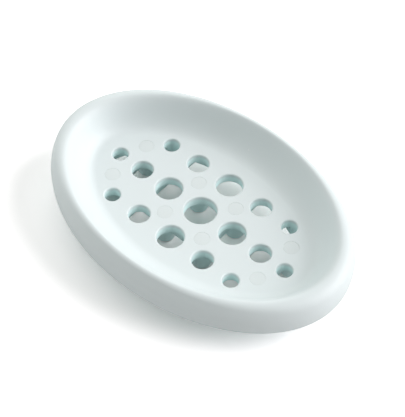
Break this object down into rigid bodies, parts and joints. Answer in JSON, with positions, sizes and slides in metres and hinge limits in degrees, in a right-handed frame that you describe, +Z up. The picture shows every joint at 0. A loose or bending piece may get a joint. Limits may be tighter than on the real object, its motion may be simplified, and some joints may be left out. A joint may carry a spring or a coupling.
{
  "type": "soap dish",
  "caption": "Oval soap dish with a thick rounded rim, graduated round drain holes and short push-in feet that lift it off the counter.",
  "frame": {"origin": "on the ground under the middle of the dish", "axes": "+X along the length, +Y across the width, +Z up; front is towards -Y and left towards -X"},
  "size_m": [0.119, 0.08, 0.023],
  "materials": {
    "dish": "satin",
    "feet": "satin"
  },
  "bodies": {
    "root": {"dish": "dish", "foot_inner_left_front": "feet", "foot_inner_left_back": "feet", "foot_inner_right_front": "feet", "foot_inner_right_back": "feet", "foot_outer_left_front": "feet", "foot_outer_left_back": "feet", "foot_outer_right_front": "feet", "foot_outer_right_back": "feet"}
  },
  "joints": []
}
